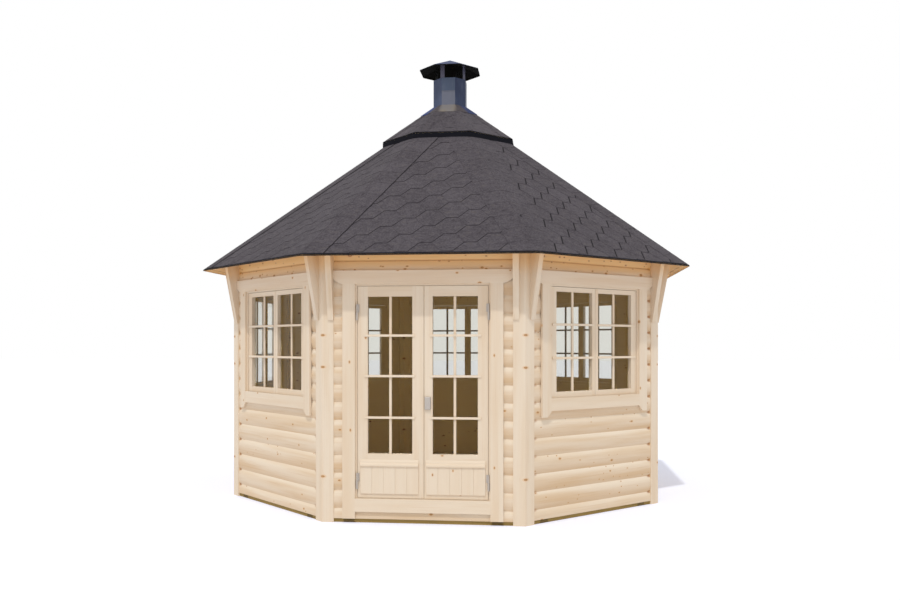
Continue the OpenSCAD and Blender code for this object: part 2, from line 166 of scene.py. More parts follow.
class Finish(Nodes):
    """A material in the making."""

    def __init__(self, name, roughness=0.6, gloss=0.3):
        self.material = bpy.data.materials.new(name)
        self.material.use_nodes = True
        super().__init__(self.material.node_tree)
        self.shader = self.tree.nodes["Principled BSDF"]
        self.set(Roughness=roughness, Specular_IOR_Level=gloss)

    def set(self, **inputs):
        for key, value in inputs.items():
            self.feed(self.shader.inputs[key.replace("_", " ")], value)

    def place(self):
        """where a point lies on the object"""
        return self.node("ShaderNodeTexCoord", {}, {}, "Object").parts()

    def vector(self, x, y, z):
        return self.node("ShaderNodeCombineXYZ", {}, {0: x, 1: y, 2: z})

    def noise(self, vector, scale=1.0, detail=2.0, roughness=0.5):
        inputs = {"Vector": vector, "Scale": scale, "Detail": detail}
        inputs["Roughness"] = roughness
        return self.node("ShaderNodeTexNoise", {}, inputs)

    def dice(self, vector):
        """three even random numbers for each whole-number place"""
        inputs = {"Vector": vector}
        return self.node("ShaderNodeTexWhiteNoise", {}, inputs, "Color").parts()

    def mix(self, factor, first, second):
        inputs = {0: factor, 6: first, 7: second}
        return self.node("ShaderNodeMix", {"data_type": "RGBA"}, inputs, 2)

    def bump(self, height, strength=0.3, distance=0.002):
        inputs = {"Height": height, "Strength": strength, "Distance": distance}
        self.set(Normal=self.node("ShaderNodeBump", {}, inputs))


def on_wall(finish):
    """place on the nearest wall: along it, out from the log joints, up, and the wall's
    number, which is -2 for the door's and runs from -3 to 4"""
    x, y, z = finish.place()
    wall = (y.math("ARCTAN2", x) / EIGHTH).math("ROUND")
    wall = wall + (wall < 0.5 - SIDES / 2) * SIDES
    angle = wall * EIGHTH
    cosine, sine = angle.math("COSINE"), angle.math("SINE")
    along = y * cosine - x * sine
    out = x * cosine + y * sine - WALL_A
    return along, out, z, wall


PINE_LIGHT = paint(228, 211, 188)
PINE_WARM = paint(217, 190, 156)
PINE_STREAK = paint(203, 167, 126)
KNOT_EDGE = paint(140, 98, 60)
KNOT_CORE = paint(190, 144, 94)
KNOT_HALO = paint(220, 180, 134)
# painted highlight on the upper part of each log's rounded front
CROWN_HIGHLIGHT = paint(242, 228, 205)
# painted shade on the lower part of each log's rounded front
UNDERSIDE_SHADE = paint(207, 169, 122)
# painted shade in the joint creases of the logs under the eave
JOINT_CREASE_SHADE = paint(160, 100, 50)
# painted shade in the hollows at the log joints beside the casings and the posts
HOLLOW_SHADE = paint(160, 104, 54)
# painted warm bounced light on the inside faces: the pine there is painted yellower and
# brighter
HONEY_INDOOR_BOUNCE = paint(252, 226, 164)
# painted warm bounced light in the shade under the eaves, orange
EAVE_WARM_BOUNCE = paint(236, 187, 107)


def knots(finish, length, across, seed, run, width, share, size):
    """knots scattered in cells of run by width, a share of which has one: how far off
    the cell's knot is, in radii, and how far across"""
    end_margin, side_margin = 0.2, 0.25
    stretched, smallest, far = 0.6, 0.6, 100
    column = (length / run).math("FLOOR")
    row = (across / width).math("FLOOR")
    a, b, c = finish.dice(finish.vector(column, row, seed))
    aside = (length / run - column - end_margin - a * (1 - 2 * end_margin)) * run
    over = (across / width - row - side_margin - b * (1 - 2 * side_margin)) * width
    radius = c * size + size * smallest
    away = ((aside * stretched) ** 2 + over ** 2) ** 0.5 / radius
    return away + (c > share) * far, over


def pine(finish, length, across, depth, seed, knot=None, tints=(), tone=0.5, calm=1.0):
    """sawn pine: streaks along the length, which bend round the knots, and its tints;
    returns its relief"""
    bend, narrowing, seed_step = 0.8, 0.12, 7.31
    if knot:
        away, over = knot
        across = across - over * (-(away * away) * narrowing).math("EXPONENT") * bend
    start = seed * seed_step

    def streaks(stretch, over_across, over_depth, detail, roughness=0.5):
        place = (length * stretch + start, across * over_across, depth * over_depth)
        return finish.noise(finish.vector(*place), 1.0, detail, roughness)

    soft = streaks(0.9, 13, 13, 2.0)
    streak = streaks(2.2, 95, 60, 3.0, 0.6)
    fine = streaks(9, 420, 300, 2.0, 0.6)
    colour = finish.mix(soft.fade(0.35, 0.75) * calm, PINE_LIGHT, PINE_WARM)
    colour = finish.mix(streak.fade(0.5, 0.85) * tone, colour, PINE_STREAK)
    colour = finish.mix(fine.fade(0.55, 0.8) * 0.25 * calm, colour, PINE_STREAK)
    for amount, shade in tints:
        colour = finish.mix(amount, colour, shade)
    if knot:
        colour = finish.mix(away.fade(2.6, 1.0) * 0.8, colour, KNOT_HALO)
        colour = finish.mix(away.fade(1.1, 0.95), colour, KNOT_EDGE)
        colour = finish.mix(away.fade(0.85, 0.6), colour, KNOT_CORE)
    finish.set(Base_Color=colour, Roughness=streak.fade(0.3, 0.8, 0.55, 0.75))
    return streak * 0.7 + fine * 0.3


def give(finish, *names):
    """puts a finish on whole CAD nodes"""
    for name in names:
        nodes[name].data.materials.clear()
        nodes[name].data.materials.append(finish.material)


logs = Finish("pine_logs")
along, out, up, wall = on_wall(logs)
course = ((up - FIRST_JOINT) / LOG_PITCH).math("FLOOR")
level = up - FIRST_JOINT - course * LOG_PITCH
log_seed = course + wall * 31
chance, shift, _ = logs.dice(logs.vector(log_seed, 3, 5))
length = along + shift
under_eave = up > TOP_LOGS
away, over = knots(
    logs, length, level, log_seed,
    run=under_eave * (TOP_KNOT_RUN - LOG_KNOT_RUN) + LOG_KNOT_RUN, width=LOG_PITCH,
    share=under_eave * 0.5 + 0.42, size=LOG_KNOT,
)
pins, _ = knots(
    logs, length, level, log_seed + 0.5, run=PIN_RUN, width=PIN_ROW,
    share=(chance > 0.6) * 0.3 + under_eave * 0.35,
    size=under_eave * (TOP_PIN_KNOT - PIN_KNOT) + PIN_KNOT,
)
log_knots = away.math("MINIMUM", pins), over
from_joint = LOG_PITCH / 2 - abs(level - LOG_PITCH / 2)
inside = out < LOG_BACK
outside = 1 - inside
# painted highlight high on each log and painted shade low on it, where the round turns
# towards the light and away from it
crown_highlight = level.fade(CROWN, LOG_PITCH) * outside
underside_shade = level.fade(UNDERSIDE, 0.0) * outside
# painted shade in the joint hollows near the ends of each wall, weaker on the door's
# wall and towards the door
off_door_wall = (abs(wall + TO_DOOR) > 0.5).fade(0.0, 1.0, 0.3, 1.0)
beside = abs(along).fade(*CASING_EDGE) * off_door_wall
near_door = (along * (wall + TO_DOOR)).fade(DOORSIDE, -DOORSIDE)
hollow_shade = (from_joint + beside * -HOLLOW_DEPTH).fade(*HOLLOW_EDGE) * beside * outside
hollow_shade = hollow_shade * (1 - near_door * 0.4)
# Apart from the grain, these tints paint light and shade: warm bounced light indoors,
# the highlight and shade of each log's round, shade in the joint hollows and creases,
# and warm bounced light under the eave.
tints = (
    (inside * 0.9, HONEY_INDOOR_BOUNCE),
    (crown_highlight * 0.45, CROWN_HIGHLIGHT),
    (underside_shade * (chance * 0.34 + 0.16), UNDERSIDE_SHADE),
    (hollow_shade * 0.8, HOLLOW_SHADE),
    (up.fade(TOP_LOGS, WALL_TOP) * outside * 0.62, EAVE_WARM_BOUNCE),
    (from_joint.fade(JOINT_LINE, 0.0) * under_eave * 0.6, JOINT_CREASE_SHADE),
)
relief = pine(logs, along + shift * 5, level, out, log_seed, log_knots, tints)
seam = abs(level - LOG_PITCH / 2).fade(LOG_PITCH / 2 - LOG_SEAM, LOG_PITCH / 2)
logs.bump(relief - inside * seam * 3, strength=0.4, distance=0.001)
give(
    logs, "wall_front_right", "wall_right", "wall_back_right", "wall_back",
    "wall_back_left", "wall_left", "wall_front_left", "front_wall_left",
    "front_wall_right", "front_wall_over_door", "door_sill_log",
)


# --- Ground beams and floor joists ----------------------------------------------------
# Pressure-treated timber under the walls and the floor, olive from the treatment. The
# beams sit between the feet of the posts, and the joists carry the floor.
BEAM_FOOT = 0.565
BEAM_FOOT_EDGE = (0.05, 0.035)
OLIVE_LIGHT = paint(168, 141, 83)
OLIVE_DARK = paint(132, 110, 60)
CASING_FOOT_SHADOW = paint(70, 56, 34)
treated = Finish("treated_pine", roughness=0.8)
along, out, up, wall = on_wall(treated)
streak = treated.noise(treated.vector(along * 3, up * 160, out * 160), 1.0, 3.0)
colour = treated.mix(streak.fade(0.3, 0.75), OLIVE_LIGHT, OLIVE_DARK)
# painted shadow on the beams where the feet of the door's side boards stand over them,
# at the same places on every wall
feet = abs(abs(along) - BEAM_FOOT).fade(*BEAM_FOOT_EDGE)
treated.set(Base_Color=treated.mix(feet * 0.6, colour, CASING_FOOT_SHADOW))
treated.bump(streak, strength=0.4, distance=0.001)
give(treated, "ground_beams", "floor_joists")


# --- Floor boards ---------------------------------------------------------------------
# Pine boards 28 mm thick with a V joint every 95 mm, laid front to back and nailed to
# the joists, inside the posts.
FLOOR_BOARD = 0.095
FLOOR_JOINT = 0.003
FLOOR_KNOT = 0.008
FLOOR_KNOT_RUN = 0.45
BOARD_JOINT = paint(120, 84, 50)
floor_pine = Finish("pine_floor")
x, y, z = floor_pine.place()
board = (x / FLOOR_BOARD).math("FLOOR")
side = x - board * FLOOR_BOARD - FLOOR_BOARD / 2
gap = abs(side).fade(FLOOR_BOARD / 2 - FLOOR_JOINT, FLOOR_BOARD / 2)
floor_knots = knots(
    floor_pine, y, side + FLOOR_BOARD / 2, board, run=FLOOR_KNOT_RUN,
    width=FLOOR_BOARD, share=0.5, size=FLOOR_KNOT,
)
# painted warm bounced light over the floor, and the boards' own dark joints
tints = ((0.6, HONEY_INDOOR_BOUNCE), (gap * 0.8, BOARD_JOINT))
relief = pine(floor_pine, y, side, z, board, floor_knots, tints)
floor_pine.bump(relief - gap * 6, strength=0.4, distance=0.001)
give(floor_pine, "floor_boards")


# --- Corner posts ---------------------------------------------------------------------
# Eight grooved pine posts with two outer faces each. They stand on the ground and take
# the ends of the logs. All have knots at like heights.
POST_KNOTS = (0.346, 1.178, 1.420)
POST_KNOT = 0.0068
POST_KNOT_LIFT = 0.006
POST_KNOT_WANDER = 0.01
POST_INSIDE = 1.975
POST_EAVE_BOUNCE = (1.84, 2.0)
posts = Finish("pine_posts")
x, y, z = posts.place()
post = ((y.math("ARCTAN2", x) / EIGHTH) - 0.5).math("ROUND")
angle = (post + 0.5) * EIGHTH
across = y * angle.math("COSINE") - x * angle.math("SINE")
inward = x * angle.math("COSINE") + y * angle.math("SINE")
wander, lift, _ = posts.dice(posts.vector(post, 2, 1))
away = None
for height in POST_KNOTS:
    rise = (z - height - (lift - 0.5) * POST_KNOT_LIFT) * 0.6
    side = across - wander * POST_KNOT_WANDER
    near = (side ** 2 * 0.25 + rise ** 2 * 2.8) ** 0.5 / POST_KNOT
    away = away.math("MINIMUM", near) if away else near
# painted warm bounced light on the posts' inner parts, and painted warm bounced light
# under the eave near their tops
tints = ((inward < POST_INSIDE) * 0.9, HONEY_INDOOR_BOUNCE), (z.fade(*POST_EAVE_BOUNCE) * 0.5, EAVE_WARM_BOUNCE)
post_knots = away, across
relief = pine(
    posts, z, across, inward, post * 3.7, post_knots, tints, tone=0.2, calm=0.5
)
posts.bump(relief, strength=0.3, distance=0.001)
give(posts, "corner_posts")


# --- Roof braces ----------------------------------------------------------------------
# Tapered pine boards screwed to the posts, which carry the eave. Each is sawn from one
# board, with its grain up and out along the slope of its outer edge.
BRACE_SLOPE = (0.97, 0.25)
BRACE_EAVE_BOUNCE = (1.86, 2.02)
braces = Finish("pine_braces")
along, out, up, wall = on_wall(braces)
lean = out * BRACE_SLOPE[0] - up * BRACE_SLOPE[1]
# painted warm bounced light near the tops of the braces, under the eave
tints = ((up.fade(*BRACE_EAVE_BOUNCE) * 0.4, EAVE_WARM_BOUNCE),)
brace_seed = wall * 5 + (along > 0) * 2
relief = pine(braces, up, lean, along, brace_seed, tints=tints, tone=0.4, calm=0.7)
braces.bump(relief, strength=0.3, distance=0.001)
give(braces, "roof_braces")


# --- Roof boards ----------------------------------------------------------------------
# Tongue and groove boards 90 mm wide, nailed side by side parallel to the eave. They
# show from inside, and the upper roof is boarded in the same way.
ROOF_BOARD = 0.090
ROOF_JOINT = 0.004
ROOF_KNOT = 0.008
ROOF_KNOT_RUN = 0.5
PITCH = math.radians(38.2)
roof_pine = Finish("pine_roof_boards")
along, out, up, wall = on_wall(roof_pine)
slope = up * math.sin(PITCH) - out * math.cos(PITCH)
board = (slope / ROOF_BOARD).math("FLOOR")
side = slope - board * ROOF_BOARD
gap = abs(side - ROOF_BOARD / 2).fade(ROOF_BOARD / 2 - ROOF_JOINT, ROOF_BOARD / 2)
board_seed = board * 3 + wall * 50
roof_knots = knots(
    roof_pine, along, side, board_seed, run=ROOF_KNOT_RUN, width=ROOF_BOARD, share=0.5,
    size=ROOF_KNOT,
)
outdoors = out > 0
# painted warm bounced light on the inside, painted warm bounced light under the eave on
# the soffit outside, and the boards' own dark joints
tints = (
    ((1 - outdoors) * 0.85, HONEY_INDOOR_BOUNCE),
    (outdoors * 0.7, EAVE_WARM_BOUNCE),
    (gap * 0.7, BOARD_JOINT),
)
relief = pine(roof_pine, along, side, out, board_seed, roof_knots, tints)
roof_pine.bump(relief - gap * 6, strength=0.4, distance=0.001)
give(roof_pine, "roof_boards", "upper_roof_boards")


# --- Shingles of the main roof --------------------------------------------------------
# Bitumen felt shingles with slate granules, in strips whose lower edges are cut to
# six-sided tabs a third of a metre apart. Each strip laps the one below by half a tab.
EAVE_A = 2.112
EAVE_Z = 2.015
ROOF_TOP_A = 0.45
FIRST_COURSE = 0.139
ROWS_BELOW = 3
TAB_STEP = 0.332
TAB_FOOT = 0.046
TAB_SIDE = 0.120
COURSE = 0.119
STRIP = 2.3 * COURSE
SHEET = 0.0014
EDGE_DROP = SHEET * 0.7
FELT = 0.0022
FELT_LEVEL = -2.6 * SHEET
EAVE_DARK = 0.006
EAVE_BLUR = 0.002
EAVE_REACH = 0.02
HIP_BACK = 0.028
CLOSE = 0.0001
STEEP = 0.7
TAN_P, COS_P, SIN_P = math.tan(PITCH), math.cos(PITCH), math.sin(PITCH)
HALF_TURN = math.radians(22.5)
TAN_H, COS_H, SIN_H = math.tan(HALF_TURN), math.cos(HALF_TURN), math.sin(HALF_TURN)
UPPER_A = 0.609
UPPER_LIFT = 0.049
UPPER_Z = EAVE_Z + (EAVE_A - UPPER_A) * TAN_P + UPPER_LIFT

# how far the rows of tabs are shifted along each face
TAB_SHIFT = (0.046, 0.11, -0.05, 0.13, 0.02, -0.12, 0.07, 0.15)
# widths of the strips painted as shadow along the level and the slanted edges of the
# tabs, and how dark the cut edges are painted, face by face as the sun's shadows fall
EDGE_SHADOW = (
    (0.004, 0.005, 0.0), (0.0005, 0.014, 0.0), (0.001, 0.008, 0.0),
    (0.002, 0.006, 0.2), (0.003, 0.004, 0.3), (0.0025, 0.0035, 0.2),
    (0.002, 0.003, 0.1), (0.001, 0.001, 0.0),
)
# how dark the painted shadow strips are along the level and the slanted edges
LEVEL_SHADOW = 0.8
SLANT_SHADOW = 0.95
SLATE_DARK = paint(60, 55, 59)
SLATE_LIGHT = paint(95, 90, 95)
SLATE_BROWN = paint(86, 79, 74)
# bare black felt, which also paints the shadows along the tab and cap edges
FELT_AND_SHADOW = paint(30, 27, 30)

slate = Finish("slate_granules", roughness=0.85, gloss=0.12)
x, y, z = slate.place()
spot = slate.vector(x, y, z)
broad = slate.noise(spot, 3.5, 3.0)
patchy = slate.noise(slate.vector(x, y, z * 1.6), 22.0, 2.0, 0.6)
mottle = slate.noise(slate.vector(x, y, z * 1.6), 75.0, 2.0, 0.6)
grit = slate.noise(spot, 420.0, 2.0, 0.7)
tone = slate.node("ShaderNodeAttribute", {"attribute_name": "tone"}, {}, "Fac")
wear_and_shade = slate.node("ShaderNodeAttribute", {"attribute_name": "wear_and_shade"}, {}, "Fac")
value = (broad - 0.5) * 0.45 + (patchy - 0.5) * 0.9
value = value + (mottle - 0.5) * 1.75 + (grit - 0.5) * 0.6
value = value + (tone - 0.5) * 0.15 + 0.5
colour = slate.mix(value, SLATE_DARK, SLATE_LIGHT)
colour = slate.mix(patchy.fade(0.5, 0.8) * 0.4, colour, SLATE_BROWN)
for eave in (EAVE_Z, UPPER_Z):
    band = (z - eave).fade(EAVE_DARK + EAVE_BLUR, EAVE_DARK)
    wear_and_shade = wear_and_shade + band * (z > eave - EAVE_REACH)
# darkens to bare felt, paints the shadows along the tab and cap edges, and darkens a
# band just above each eave
slate.set(Base_Color=slate.mix(wear_and_shade, colour, FELT_AND_SHADOW))
slate.bump(grit + mottle * 0.5, strength=0.5, distance=0.0015)


def turned(k):
    """turns a piece drawn on the +X side to wall number k, counted from the door"""
    return Matrix.Rotation(EIGHTH * (k - TO_DOOR), 4, "Z")


def slope_frame(k, a, z):
    """along the eave, up the slope and out of it, from the middle of face k's eave"""
    rows = ((0, -COS_P, SIN_P, a), (1, 0, 0, 0), (0, SIN_P, COS_P, z), (0, 0, 0, 1))
    return turned(k) @ Matrix(rows)


def doubled(bm, faces, offset):
    """gives faces a thickness, and returns the far side's verts"""
    made = bmesh.ops.extrude_face_region(bm, geom=faces)["geom"]
    verts = [g for g in made if isinstance(g, bmesh.types.BMVert)]
    bmesh.ops.translate(bm, vec=offset, verts=verts)
    return verts


def tab(bm, x, s, layers, draw, edge_shadow):
    """one tab and the strip behind it, thinning upwards, with painted shadow along its
    lower edges and its foot at s"""
    tone, wear_and_shade = layers
    flat, slant, _ = edge_shadow
    lean = (TAB_SIDE - TAB_FOOT) / COURSE
    level = COURSE / math.hypot(TAB_SIDE - TAB_FOOT, COURSE)
    edge = TAB_FOOT - slant / level
    outline = [
        (-TAB_STEP / 2, COURSE), (-TAB_SIDE, COURSE), (-TAB_FOOT - lean * flat, flat),
        (edge + lean * flat, flat), (edge + lean * COURSE, COURSE), (TAB_SIDE, COURSE),
        (TAB_STEP / 2, COURSE), (TAB_STEP / 2, STRIP), (-TAB_STEP / 2, STRIP),
        (-TAB_FOOT, 0), (TAB_FOOT, 0),
    ]
    verts = [bm.verts.new((x + u, s + v, -SHEET * v / COURSE)) for u, v in outline]
    whole, foot, slope = range(9), (2, 9, 10, 3), (3, 10, 5, 4)
    upper = [bm.faces.new([verts[i] for i in loop]) for loop in (whole, foot, slope)]
    for face, amount in zip(upper, (0, LEVEL_SHADOW, SLANT_SHADOW)):
        face[tone] = draw
        face[wear_and_shade] = amount
    doubled(bm, upper, (0, 0, -SHEET))
    for v in verts[9:]:
        v.co.z -= EDGE_DROP


def model(name, bm, finish):
    """makes an object of a mesh"""
    mesh = bpy.data.meshes.new(name)
    bm.to_mesh(mesh)
    bm.free()
    obj = bpy.data.objects.new(name, mesh)
    bpy.context.scene.collection.objects.link(obj)
    mesh.materials.append(finish.material)
    return obj


def piece(name, bm, body, finish):
    """makes a visible piece of a mesh, and hangs it on its CAD body"""
    obj = model(name, bm, finish)
    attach(obj, body)
    return obj


def cut(bm, point, normal):
    """saws off what lies beyond a plane, and closes the cut"""
    geom = bm.verts[:] + bm.edges[:] + bm.faces[:]
    made = bmesh.ops.bisect_plane(
        bm, geom=geom, plane_co=point, plane_no=normal, clear_outer=True
    )
    edges = [g for g in made["geom_cut"] if isinstance(g, bmesh.types.BMEdge)]
    bmesh.ops.holes_fill(bm, edges=edges, sides=0)


def shade_layers(bm):
    """how light each face is, and how dark it is painted, for bare felt and for shadow
    """
    return bm.faces.layers.float.new("tone"), bm.faces.layers.float.new("wear_and_shade")


def shingled_face(k, a, z, a_top, first, shift, draws, edge_shadow):
    """the tabs of face k of a roof, sawn along its hips, and the felt under them"""
    bm = bmesh.new()
    layers = shade_layers(bm)
    length = (a - a_top) / COS_P
    half, top_half = a * TAN_H, a_top * TAN_H
    rows = int((length - first) / COURSE) + 1
    for row in range(-ROWS_BELOW, rows):
        s = first + row * COURSE
        middle = shift + (row % 2) * TAB_STEP / 2
        low = math.floor((-half - middle) / TAB_STEP)
        high = math.ceil((half - middle) / TAB_STEP)
        reach = (a - s * COS_P) * TAN_H + TAB_STEP
        for column in range(low, high + 1):
            x = middle + column * TAB_STEP
            if abs(x) < reach:
                tab(bm, x, s, layers, draws.random(), edge_shadow)
    for side in (-1, 1):
        along_hip = Vector((-side * TAN_H * COS_P, 1, 0))
        outward = Vector((side * along_hip.y, -side * along_hip.x, 0))
        cut(bm, Vector((side * (half - HIP_BACK), 0, 0)), outward)
    cut(bm, Vector((0, 0, 0)), Vector((0, -COS_P, SIN_P)))
    cut(bm, Vector((0, length, 0)), Vector((0, 1, 0)))
    # cut edges at the eave are bare felt; the other cut edges are painted darker as
    # shade, face by face
    for face in bm.faces:
        from_eave = (abs(SIN_P * v.co.z - COS_P * v.co.y) for v in face.verts)
        at_eave = all(distance < CLOSE for distance in from_eave)
        if abs(face.normal.z) < STEEP:
            face[layers[1]] = 1.0 if at_eave else edge_shadow[2]
    felt = [(-half, 0), (half, 0), (top_half, length), (-top_half, length)]
    sheet = bm.faces.new([bm.verts.new((u, v, FELT_LEVEL)) for u, v in felt])
    low = doubled(bm, [sheet], (0, 0, -FELT))
    for face in {f for v in low for f in v.link_faces}:
        face[layers[1]] = 1.0
    bm.transform(slope_frame(k, a, z))
    return bm


def gather(parts):
    """puts several meshes into one"""
    whole = bmesh.new()
    for bm in parts:
        step = bpy.data.meshes.new("step")
        bm.to_mesh(step)
        bm.free()
        whole.from_mesh(step)
        bpy.data.meshes.remove(step)
    bmesh.ops.recalc_face_normals(whole, faces=whole.faces)
    return whole


draws = random.Random(7)
field = gather(
    shingled_face(
        k, EAVE_A, EAVE_Z, ROOF_TOP_A, FIRST_COURSE, TAB_SHIFT[k], draws, EDGE_SHADOW[k]
    )
    for k in range(SIDES)
)
shingles = piece("roof_shingle_courses", field, "cabin", slate)
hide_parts("roof_shingles")


# --- Hip caps of the main roof --------------------------------------------------------
# Plain felt strips bent over each hip, softly rounded where the two faces meet. They
# are nailed from the eave up, and each laps the one below.
CAP_HALF = 0.166
CAP_WIDENING = 0.043
CAP_STEP = 0.198
CAP_LENGTH = CAP_STEP * 1.25
CAP_START = -0.02
CAP_SHORTEST = 0.03
CAP_ROUND = 0.022
CAP_SHEET = 0.0012
CAP_FOOT = 0.006
SEAM_WIDTH = 0.008
CAP_COLUMNS = (-1, -0.75, -0.5, -0.3, -0.15, 0, 0.15, 0.3, 0.5, 0.75)
CAP_LIFT = 1.4
CAP_FOOT_SHADOW = 0.6
FOOT_COLUMNS = 4
# how dark the painted shadow along one side of each hip's caps is, and how wide
HIP_SEAM_SHADOW = (0.0, 0.5, 0.3, 0.5, 0.5, 0.6, 0.9, 0.9)
HIP_SEAM = (*[SEAM_WIDTH] * 6, 0.03, SEAM_WIDTH)
HIP = Vector((-1 / COS_H, 0, TAN_P)).normalized()
HIP_OUT = Vector((-HIP.z, 0, HIP.x)) * -1
HIP_FALL = SIN_P * SIN_H / Vector((SIN_P * COS_H, SIN_P * SIN_H, COS_P)).dot(HIP_OUT)


def hip_frame(k, a, z):
    """across the hip, up along it and out of it, from the eave's corner after face k"""
    rows = (
        (0, HIP.x, HIP_OUT.x, a / COS_H), (1, 0, 0, 0), (0, HIP.z, HIP_OUT.z, z),
        (0, 0, 0, 1),
    )
    return turned(k + 0.5) @ Matrix(rows)


def hip_strip(bm, start, length, half, layers, draw, bend, edge_shadow, seam):
    """one bent strip, thinning upwards to go under the next, with painted shadow at one
    side and the foot"""
    columns = (*CAP_COLUMNS, 1 - seam / half, 1)
    grid = []
    for h in (0, CAP_FOOT, length):
        lift = CAP_SHEET * (CAP_LIFT - h / CAP_STEP)
        row = []
        for c in columns:
            drop = HIP_FALL * math.hypot(c * half, bend)
            row.append(bm.verts.new((c * half, start + h, lift - drop)))
        grid.append(row)
    faces = []
    for j in range(2):
        for i in range(len(columns) - 1):
            corners = (grid[j][i], grid[j][i + 1], grid[j + 1][i + 1], grid[j + 1][i])
            face = bm.faces.new(corners)
            face[layers[0]] = draw
            face[layers[1]] = 0
            if i == len(columns) - 2:
                face[layers[1]] = edge_shadow
            elif j == 0 and i < FOOT_COLUMNS:
                face[layers[1]] = edge_shadow * CAP_FOOT_SHADOW
            faces.append(face)
    doubled(bm, faces, (0, 0, -CAP_SHEET))


def capped_hip(k, a, z, a_top, half, widening, draws, bend, edge_shadow, seam=SEAM_WIDTH):
    """the strips of one hip, from the eave up, sawn off level with the eave"""
    bm = bmesh.new()
    layers = shade_layers(bm)
    length = (a - a_top) / COS_H / -HIP.x
    start = CAP_START
    while start < length - CAP_SHORTEST:
        reach = min(CAP_LENGTH, length - start)
        wide = half + widening * start / length
        hip_strip(bm, start, reach, wide, layers, draws.random(), bend, edge_shadow, seam)
        start += CAP_STEP
    bm.transform(hip_frame(k, a, z))
    for side in (k, k + 1):
        outward = turned(side) @ Vector((1, 0, 0))
        cut(bm, outward * a, outward)
    return bm


caps = gather(
    capped_hip(
        k, EAVE_A, EAVE_Z, ROOF_TOP_A, CAP_HALF, CAP_WIDENING, draws, CAP_ROUND,
        HIP_SEAM_SHADOW[k], HIP_SEAM[k],
    )
    for k in range(SIDES)
)
hip_caps = piece("roof_hip_caps", caps, "cabin", slate)
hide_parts("roof_shingles")


# --- Drip edge ------------------------------------------------------------------------
# Folded sheet metal strip, painted almost black outside and in the tone of the boards
# inside, nailed round the ends of the roof boards. The inner tone is the boards'
# painted warm bounced light under the eave.
DRIP_SKIN = 0.0015
DRIP_DARK = paint(23, 22, 25)
DRIP_LIGHT = paint(33, 32, 36)
edging = Finish("dark_edging", roughness=0.7, gloss=0.1)
x, y, z = edging.place()
wear_and_shade = edging.noise(edging.vector(x, y, z * 3), 18.0, 3.0)
outer_colour = edging.mix(wear_and_shade, DRIP_DARK, DRIP_LIGHT)
# the inner side takes the orange of the painted warm bounced light under the eave
inner_colour = edging.mix(wear_and_shade, EAVE_WARM_BOUNCE, PINE_WARM)
inner = on_wall(edging)[1] < EAVE_A - WALL_A - DRIP_SKIN
edging.set(Base_Color=edging.mix(inner, outer_colour, inner_colour))
edging.bump(wear_and_shade, strength=0.1, distance=0.002)
give(edging, "drip_edge")


# --- Upper roof -----------------------------------------------------------------------
# A small roof over the smoke opening, boarded and shingled like the main one, with a
# dark board round its edge.
TUBE_A = 0.1525
UPPER_TOP_A = TUBE_A + 0.003
UPPER_FIRST_COURSE = 0.09
UPPER_SHIFT = 0.02
# painted shadow strips of the upper roof's tabs
UPPER_EDGE_SHADOW = (0.0006, 0.0006, 0.0)
UPPER_CAP_TOP_A = 0.262
UPPER_CAP_HALF = 0.10
UPPER_CAP_WIDENING = -0.04
UPPER_CAP_ROUND = 0.006
FASCIA_DARK = paint(21, 21, 26)
FASCIA_LIGHT = paint(29, 29, 35)
upper = gather(
    shingled_face(
        k, UPPER_A, UPPER_Z, UPPER_TOP_A, UPPER_FIRST_COURSE,
        UPPER_SHIFT + TAB_SHIFT[k], draws, UPPER_EDGE_SHADOW,
    )
    for k in range(SIDES)
)
upper_tabs = piece("upper_roof_shingle_courses", upper, "cabin", slate)
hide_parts("upper_roof_shingles")
caps = gather(
    capped_hip(
        k, UPPER_A, UPPER_Z, UPPER_CAP_TOP_A, UPPER_CAP_HALF, UPPER_CAP_WIDENING, draws,
        UPPER_CAP_ROUND, 0.0,
    )
    for k in range(SIDES)
)
upper_caps = piece("upper_roof_hip_caps", caps, "cabin", slate)
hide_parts("upper_roof_shingles")
fascia = Finish("dark_edge_board", roughness=0.8, gloss=0.05)
x, y, z = fascia.place()
wear_and_shade = fascia.noise(fascia.vector(x, y, z), 14.0, 3.0)
fascia.set(Base_Color=fascia.mix(wear_and_shade, FASCIA_DARK, FASCIA_LIGHT))
fascia.bump(wear_and_shade, strength=0.15, distance=0.002)
give(fascia, "upper_roof_edge")


# --- Chimney --------------------------------------------------------------------------
# Eight-sided tube of blue-coated sheet steel with a flashing at its foot and a pointed
# cap on four legs. The sheets are folded at the corners and riveted.
LAP_TOP = 3.745
SHADE_FROM = (0.045, 0.1)
CORNER_SHADE = 0.03
CAP_A, CAP_Z, CAP_H = 0.277, 3.958, 0.117
CAP_SKIN = (0.0012, 0.0028)
# shades painted on the facets that face the door, its neighbours and the right side,
# for the light and shade falling on each
TUBE_FACET_LIGHT = {-2: (78, 89, 109), -3: (55, 65, 92), -1: (38, 49, 77), 0: (44, 54, 80)}
FLASHING_FACET_LIGHT = {
    -2: (128, 119, 107), -3: (62, 74, 120), -1: (46, 54, 92), 0: (50, 58, 94),
}
CAP_FACET_LIGHT = {-2: (84, 90, 116)}
DUSTY = paint(96, 108, 134)
SCUFFED = paint(140, 144, 152)
LOWER_FRONT_LIGHT = paint(126, 120, 122)
FLASHING_DARK_SHADE = paint(80, 74, 76)
REAR_LEG_SHADE = paint(24, 24, 22)
SOOT = paint(14, 13, 9)


